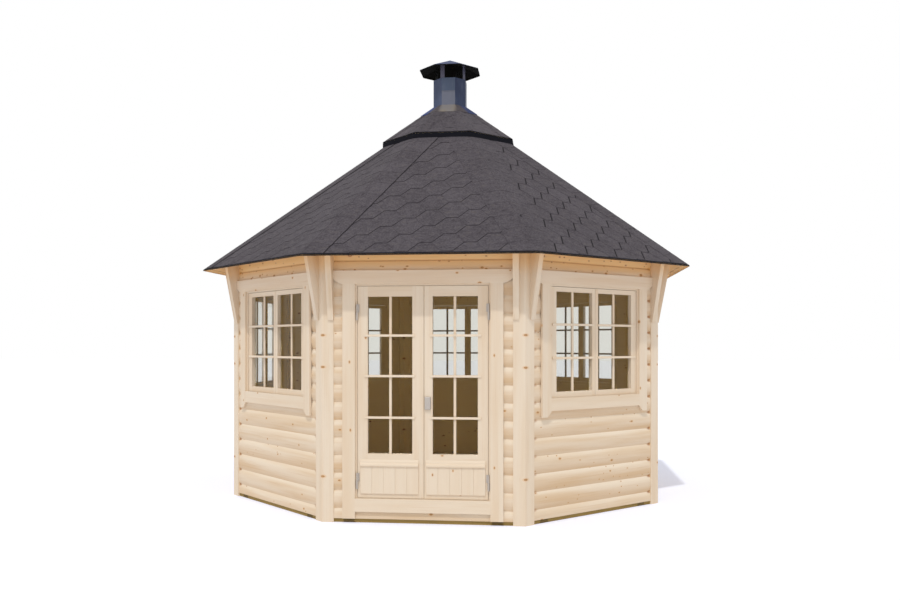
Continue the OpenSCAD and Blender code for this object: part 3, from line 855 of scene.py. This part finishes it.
def coat(name, facet_light, other, roughness=0.5, gloss=0.3):
    """painted sheet steel, whose facets are painted in different shades for the light
    and shade falling on each
    """
    finish = Finish(name, roughness, gloss)
    place = along, out, up, wall = on_wall(finish)
    x, y, z = finish.place()
    cloud = finish.noise(finish.vector(x * 3, y * 3, z * 1.5), 2.0, 3.0)
    scuff = finish.noise(finish.vector(x * 40, y * 40, z * 6), 1.0, 3.0)
    colour = paint(*other)
    for number, shade in facet_light.items():
        colour = finish.mix(abs(wall - number) < 0.5, colour, paint(*shade))
    colour = finish.mix(cloud.fade(0.3, 0.7) * 0.3, colour, DUSTY)
    colour = finish.mix(scuff.fade(0.5, 0.8) * 0.15, colour, SCUFFED)
    finish.set(Roughness=scuff.fade(0.3, 0.7, roughness - 0.05, roughness + 0.1))
    finish.bump(cloud, strength=0.05, distance=0.004)
    return finish, colour, place


sheet, colour, (_, _, up, wall) = coat("blue_sheet_metal", TUBE_FACET_LIGHT, (52, 62, 88))
# painted highlight on the lower section of the front facet, below the lap
lap = (up < LAP_TOP) * 0.75 * (abs(wall + TO_DOOR) < 0.5)
sheet.set(Base_Color=sheet.mix(lap, colour, sheet.mix(0.5, colour, LOWER_FRONT_LIGHT)))
give(sheet, "chimney_tube")
legs, colour, _ = coat("chimney_legs_metal", {}, (96, 92, 106))
# painted shade on the legs at the back
rear = legs.place()[1] > 0
legs.set(Base_Color=legs.mix(rear, colour, REAR_LEG_SHADE))
give(legs, "chimney_cap_legs")
flashing, colour, (along, _, _, wall) = coat(
    "flashing_metal", FLASHING_FACET_LIGHT, (58, 66, 96), roughness=0.7, gloss=0.1
)
# painted shade towards the ends of the front facet and on the halves of its neighbours
# next to it
from_door = wall + TO_DOOR
front = abs(from_door) < 0.5
next_to_front = abs(abs(from_door) - 1) < 0.5
corner = (along * from_door).fade(CORNER_SHADE, -CORNER_SHADE) * next_to_front
painted_shade = abs(along).fade(*SHADE_FROM) * front + corner
flashing.set(Base_Color=flashing.mix(painted_shade, colour, FLASHING_DARK_SHADE))
give(flashing, "chimney_flashing")
cap_metal, colour, (_, out, up, _) = coat(
    "cap_sheet_metal", CAP_FACET_LIGHT, (54, 60, 84), roughness=0.8, gloss=0.05
)
below = CAP_Z + (CAP_A - (out + WALL_A)) * (CAP_H / CAP_A) - up
cap_metal.set(Base_Color=cap_metal.mix(below.fade(*CAP_SKIN), colour, SOOT))
give(cap_metal, "chimney_cap")


# --- Boards round the openings --------------------------------------------------------
# Planed pine boards 18 mm thick, nailed over the logs and the frames. The head boards
# have hollowed shoulders, and the feet of the side boards are cut at a slant.
BOARD_W = 0.097
BOARD_KNOT = 0.006
BOARD_KNOT_RUN = 0.55
SILL_KNOT = 0.0045
INNER_FACE = -0.031


def planed(name, upright, seed, share=0.25, size=BOARD_KNOT, indoors=0.0):
    """planed pine on the walls, its grain upright where told, and painted yellower
    indoors for the warm light bounced there
    """
    finish = Finish(name)
    along, out, up, wall = on_wall(finish)
    stand = upright(along, up) if callable(upright) else upright
    length = along + (up - along) * stand
    across = up + (along - up) * stand
    number = wall * 9 + (along > 0) * stand * 4 + seed
    if isinstance(stand, Value):
        number = number + stand * 2.3
    spots = knots(finish, length, across, number, BOARD_KNOT_RUN, BOARD_W, share, size)
    # the inner faces get painted warm bounced light
    inner = (out < INNER_FACE) * indoors
    tints = ((inner, HONEY_INDOOR_BOUNCE),)
    relief = pine(
        finish, length, across, out, number, spots, tints, tone=0.28, calm=0.5
    )
    finish.bump(relief, strength=0.25, distance=0.001)
    return finish


give(planed("pine_side_boards", upright=1, seed=1, share=0.35), "side_boards")
give(planed("pine_head_boards", upright=0, seed=2, share=0.6), "head_boards")
sill_pine = planed("pine_sill_boards", upright=0, seed=3, share=0.3, size=SILL_KNOT)
give(sill_pine, "sill_boards", "door_threshold")


# --- Window frames, sashes and glazing bars -------------------------------------------
# Each window is a pine frame in the wall with two sashes. Glazing bars on each sash
# cross the glass, and the level ones run out over the stiles.
FRAME_IN = 0.501
SASH_GLASS = (0.035, 0.436)
SASH_KNOT = 0.005
BAR_DEPTH = 0.012
BAR_EASE = 0.0025
LEVEL_BAR_HALF = 0.007
LEVEL_BAR_BACK = 0.002
LEVEL_EASE = 0.002
LAP_HALF = 0.009
LAP_BACK = 0.003
LAP_PROUD = 0.0085
SINK = 0.001
WINDOW_GRID = {
    "upright": 0.240, "width": 0.022, "levels": (1.245, 1.503),
    "glass": SASH_GLASS, "height": (0.985, 1.757),
    "pane": -0.0245, "face": 0.004, "laps": (0.008, 0.05),
}


def beyond(limit):
    """upright grain outside a distance from the middle of the wall"""
    return lambda along, up: abs(along) > limit


def stiles(glass):
    """upright grain at both sides of a pane"""
    return lambda along, up: (abs(along) < glass[0]) + (abs(along) > glass[1])


def upright_bar(grid):
    """upright grain on the upright bar of a pane"""
    half = grid["width"] / 2 + CLOSE
    return lambda along, up: abs(abs(along) - grid["upright"]) < half


def bar(bm, low, high, ease, place):
    """a straight planed bar between two corners, with its edges eased"""
    low, high = Vector(low), Vector(high)
    made = bmesh.ops.create_cube(bm, size=1)["verts"]
    bmesh.ops.scale(bm, vec=high - low, verts=made)
    bmesh.ops.translate(bm, vec=(low + high) / 2, verts=made)
    bmesh.ops.transform(bm, matrix=place, verts=made)
    edges = list({e for v in made for e in v.link_edges})
    rounding = {"segments": 2, "affect": "EDGES", "profile": 0.5, "material": -1}
    bmesh.ops.bevel(bm, geom=edges, offset=ease, **rounding)


def wall_frame(k):
    """out from the log joints, along the wall and up, for wall number k"""
    return turned(k) @ Matrix.Translation((WALL_A, 0, 0))


def glazing_bars(
    bm, place, side, upright, width, levels, glass, height, pane, face, laps
):
    """bars over one pane, from the glass outwards; the level bars lap the face of the
    stiles"""
    low, high = sorted((side * glass[0], side * glass[1]))
    lap_low, lap_high = laps[::side]
    left, right = side * upright - width / 2, side * upright + width / 2
    foot, head = height[0] - SINK, height[1] + SINK
    bar(bm, (pane, left, foot), (pane + BAR_DEPTH, right, head), BAR_EASE, place)
    for z in levels:
        start = pane, low - SINK, z - LEVEL_BAR_HALF
        end = face - LEVEL_BAR_BACK, high + SINK, z + LEVEL_BAR_HALF
        bar(bm, start, end, LEVEL_EASE, place)
        start = face - LAP_BACK, low - lap_low, z - LAP_HALF
        end = face + LAP_PROUD, high + lap_high, z + LAP_HALF
        bar(bm, start, end, BAR_EASE, place)


frame_pine = planed("pine_window_frames", beyond(FRAME_IN), seed=4, indoors=0.9)
give(frame_pine, "window_frames")
sash_pine = planed(
    "pine_sashes", stiles(SASH_GLASS), seed=5, share=0.2, size=SASH_KNOT, indoors=0.9
)
give(sash_pine, "window_sashes")
bars = bmesh.new()
for k in range(1, SIDES):
    for side in (-1, 1):
        glazing_bars(bars, wall_frame(k), side, **WINDOW_GRID)
bar_pine = planed("pine_glazing_bars", upright_bar(WINDOW_GRID), seed=6, share=0.0)
piece("window_glazing_bars", bars, "cabin", bar_pine)


# --- Glass ----------------------------------------------------------------------------
# Clear 4 mm float glass in the sashes and the door leaves, held in a groove. Sunlight
# passes it as through open air.
GLASS_TINT = paint(235, 235, 231)
AIR_TINT = paint(252, 252, 250)
clear = Finish("clear_glass", roughness=0.0, gloss=0.08)
x, y, z = clear.place()
wave = clear.noise(clear.vector(x, y, z), 2.5, 1.0)
clear.set(Base_Color=GLASS_TINT, Transmission_Weight=1.0, IOR=1.15)
clear.bump(wave, strength=0.02, distance=0.002)
shadow_ray = clear.node("ShaderNodeLightPath", {}, {}, "Is Shadow Ray")
open_air = clear.node("ShaderNodeBsdfTransparent", {}, {"Color": AIR_TINT})
pane = Value(clear, clear.shader.outputs[0])
both = clear.node("ShaderNodeMixShader", {}, {0: shadow_ray, 1: pane, 2: open_air})
clear.feed(clear.tree.nodes["Material Output"].inputs["Surface"], both)
give(clear, "window_glass", "left_door_glass", "right_door_glass")


# --- Door frame and leaves ------------------------------------------------------------
# The frame is pine, rebated into the log wall. Each leaf has upright stiles with the
# rails between them, four rows of panes and a boarded panel below.
DOOR_GLASS = (0.077, 0.418)
DOOR_GRID = {
    "upright": 0.245, "width": 0.020, "levels": (0.797, 1.111, 1.417),
    "glass": DOOR_GLASS, "height": (0.524, 1.712),
    "pane": -0.0095, "face": 0.008, "laps": (0.020, 0.026),
}
LEAVES = (("left_door", -1), ("right_door", 1))
give(planed("pine_door_frame", beyond(FRAME_IN), seed=7), "door_frame")
leaf_pine = planed("pine_door_leaves", stiles(DOOR_GLASS), seed=8, share=0.4)
give(leaf_pine, "left_door_leaf", "right_door_leaf")
door_bar_pine = planed("pine_door_bars", upright_bar(DOOR_GRID), seed=9, share=0.0)
for name, side in LEAVES:
    bm = bmesh.new()
    glazing_bars(bm, wall_frame(0), side, **DOOR_GRID)
    piece(name + "_glazing_bars", bm, name, door_bar_pine)


# --- Door beads -----------------------------------------------------------------------
# Thin pine beads planted in the door frame, just clear of the leaves, and one on the
# meeting edge of the left leaf. They close the gaps against draught and daylight.
BEAD_CLEAR = 0.002
BEAD_BACK, BEAD_FACE = -0.020, 0.005
BEAD_EASE = 0.001
UPRIGHT_BEADS = 0.4955
FRAME_HEAD = 1.796
FRAME_FOOT = 0.184
MEETING_CLEAR = 0.003
MEETING_FACE = 0.006
MEETING_SINK = 0.0005
leaf_low, leaf_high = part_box("right_door_leaf")
bead_pine = planed("pine_beads", beyond(UPRIGHT_BEADS), seed=11, share=0.0)
beads = bmesh.new()
inner = leaf_high[0] + BEAD_CLEAR
low_gap = FRAME_FOOT, leaf_low[2] - BEAD_CLEAR
high_gap = leaf_high[2] + BEAD_CLEAR, FRAME_HEAD
upright = FRAME_FOOT, FRAME_HEAD
places = (
    (-FRAME_IN, -inner, *upright), (inner, FRAME_IN, *upright),
    (-inner, inner, *low_gap), (-inner, inner, *high_gap),
)
for left, right, foot, head in places:
    start, end = (BEAD_BACK, left, foot), (BEAD_FACE, right, head)
    bar(beads, start, end, BEAD_EASE, wall_frame(0))
piece("door_frame_beads", beads, "cabin", bead_pine)
meeting = bmesh.new()
left_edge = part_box("left_door_leaf")[1][0]
start = 0.0, left_edge - MEETING_SINK, leaf_low[2]
end = MEETING_FACE, leaf_low[0] - MEETING_CLEAR, leaf_high[2]
bar(meeting, start, end, BEAD_EASE, wall_frame(0))
piece("left_door_meeting_bead", meeting, "left_door", leaf_pine)


# --- Door panels ----------------------------------------------------------------------
# Five tongue and groove boards 89 mm wide close the foot of each leaf, with V joints
# between them. A weather moulding covers their upper ends.
PANEL = (0.029, 0.475)
PANEL_Z = (0.221, 0.430)
PANEL_BOARDS = 5
PANEL_KNOT = 0.006
PANEL_KNOT_RUN = 0.3
PANEL_BACK, PANEL_FACE = 0.001, 0.017
V_JOINT = 0.0028
BACKING_BACK, BACKING_FACE = -0.012, 0.010
BACKING_FOOT = 0.252
MOULDING = (
    (0.008, 0.430), (0.026, 0.430), (0.026, 0.441), (0.0235, 0.447), (0.019, 0.451),
    (0.0165, 0.457), (0.015, 0.466), (0.011, 0.474), (0.008, 0.480),
)
panel_board = (PANEL[1] - PANEL[0]) / PANEL_BOARDS
panel_pine = Finish("pine_panel_boards")
along, out, up, wall = on_wall(panel_pine)
aside = abs(along) - PANEL[0]
number = (aside / panel_board).math("FLOOR") + (along > 0) * 9
spots = knots(
    panel_pine, up, aside, number, run=PANEL_KNOT_RUN, width=panel_board, share=0.4,
    size=PANEL_KNOT,
)
relief = pine(panel_pine, up, along, out, number * 1.7, spots, tone=0.15, calm=0.25)
panel_pine.bump(relief, strength=0.25, distance=0.001)
moulding_pine = planed("pine_moulding", upright=0, seed=10, share=0.0)
for name, side in LEAVES:
    bm = bmesh.new()
    edges = [side * (PANEL[0] + i * panel_board) for i in range(PANEL_BOARDS + 1)]
    for ends in zip(edges, edges[1:]):
        left, right = sorted(ends)
        start, end = (PANEL_BACK, left, PANEL_Z[0]), (PANEL_FACE, right, PANEL_Z[1])
        bar(bm, start, end, V_JOINT, wall_frame(0))
    left, right = sorted((side * DOOR_GLASS[0], side * DOOR_GLASS[1]))
    start, end = (BACKING_BACK, left, BACKING_FOOT), (BACKING_FACE, right, PANEL_Z[1])
    bar(bm, start, end, BEAD_EASE, wall_frame(0))
    boarded = piece(name + "_panel_boards", bm, name, panel_pine)
    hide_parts(name + "_panel")
    bm = bmesh.new()
    left, right = sorted((side * PANEL[0], side * PANEL[1]))
    profile = bm.faces.new([bm.verts.new((q, left, z)) for q, z in MOULDING])
    doubled(bm, [profile], (0, right - left, 0))
    bm.transform(wall_frame(0))
    bmesh.ops.recalc_face_normals(bm, faces=bm.faces)
    moulding = piece(name + "_moulding", bm, name, moulding_pine)
    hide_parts(name + "_panel")


# --- Hinges and lock ------------------------------------------------------------------
# Lift-off hinges of bright zinc-plated steel, two to a leaf, and a plain lock case on
# the face of the right leaf.
LOCK_LOW = (0.0085, 0.018, 0.860)
LOCK_HIGH = (0.026, 0.064, 0.958)
LOCK_ROUND = 0.006
ZINC_WARM = paint(178, 169, 160)
ZINC_BRIGHT = paint(200, 192, 183)
zinc = Finish("zinc_plated_steel", roughness=0.45)
x, y, z = zinc.place()
brushed = zinc.noise(zinc.vector(x * 300, y * 300, z * 30), 1.0, 2.0)
zinc.set(
    Base_Color=zinc.mix(brushed, ZINC_WARM, ZINC_BRIGHT), Metallic=0.4,
    Roughness=brushed.fade(0.3, 0.7, 0.32, 0.46),
)
zinc.bump(brushed, strength=0.1, distance=0.0005)
give(zinc, "left_door_hinges", "right_door_hinges", "door_hinge_posts", "door_lock")
bm = bmesh.new()
bar(bm, LOCK_LOW, LOCK_HIGH, LOCK_ROUND, wall_frame(0))
lock = piece("door_lock_case", bm, "right_door", zinc)
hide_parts("door_lock")


# --- Floor, daylight and camera -------------------------------------------------------
# A plain white floor that keeps the cabin's shadow, an even white sky and a mild sun
# from the front. The camera stands at eye height, a little to the right of the door.
FLOOR_SIZE = 60
FLOOR_GLOW = 0.16
SKY_LIGHT = 0.76
SKY_SEEN = 1.0
FLOOR_COOL = paint(240, 242, 250)
FLOOR_WHITE = paint(244, 245, 251)
GLOW_BLUE = (0.5, 0.62, 1.0, 1.0)
TOWARDS_SUN = Vector((-0.0565, -0.5, 0.865))
bm = bmesh.new()
bmesh.ops.create_grid(bm, x_segments=1, y_segments=1, size=FLOOR_SIZE)
ground = Finish("pale_floor", roughness=0.9)
x, y, z = ground.place()
patch = ground.noise(ground.vector(x, y, z), 0.7, 2.0)
camera_ray = ground.node("ShaderNodeLightPath", {}, {}, "Is Camera Ray")
ground.set(
    Base_Color=ground.mix(patch, FLOOR_COOL, FLOOR_WHITE), Specular_IOR_Level=0.0,
    Emission_Color=GLOW_BLUE, Emission_Strength=camera_ray * FLOOR_GLOW,
)
floor = model("floor", bm, ground)

world = bpy.data.worlds.new("sky")
bpy.context.scene.world = world
world.use_nodes = True
sky = Nodes(world.node_tree)
background = world.node_tree.nodes["Background"]
rays = sky.node("ShaderNodeLightPath", {}, {}).outputs()
camera_ray, glossy_ray, through_ray = (
    Value(sky, rays[f"Is {kind} Ray"]) for kind in ("Camera", "Glossy", "Transmission")
)
seen = camera_ray.math("MAXIMUM", glossy_ray).math("MAXIMUM", through_ray)
strength = sky.node("ShaderNodeMapRange", {}, {0: seen, 3: SKY_LIGHT, 4: SKY_SEEN})
sky.feed(background.inputs["Strength"], strength)
sky.feed(background.inputs["Color"], (1, 1, 1, 1))

lamp = bpy.data.lights.new("sun", "SUN")
lamp.energy = 1.25
lamp.angle = math.radians(1.5)
sun = bpy.data.objects.new("sun", lamp)
sun.rotation_euler = TOWARDS_SUN.to_track_quat("Z", "Y").to_euler()
bpy.context.scene.collection.objects.link(sun)

lens = bpy.data.cameras.new("camera")
lens.lens = 35.43
lens.sensor_width = 36
lens.shift_y = 0.0477
camera = bpy.data.objects.new("camera", lens)
camera.location = (0.9559, -8.4539, 1.3616)
camera.rotation_euler = (math.radians(90), 0, math.radians(6.463))
bpy.context.scene.collection.objects.link(camera)
bpy.context.scene.camera = camera
bpy.context.scene.view_settings.view_transform = "Standard"
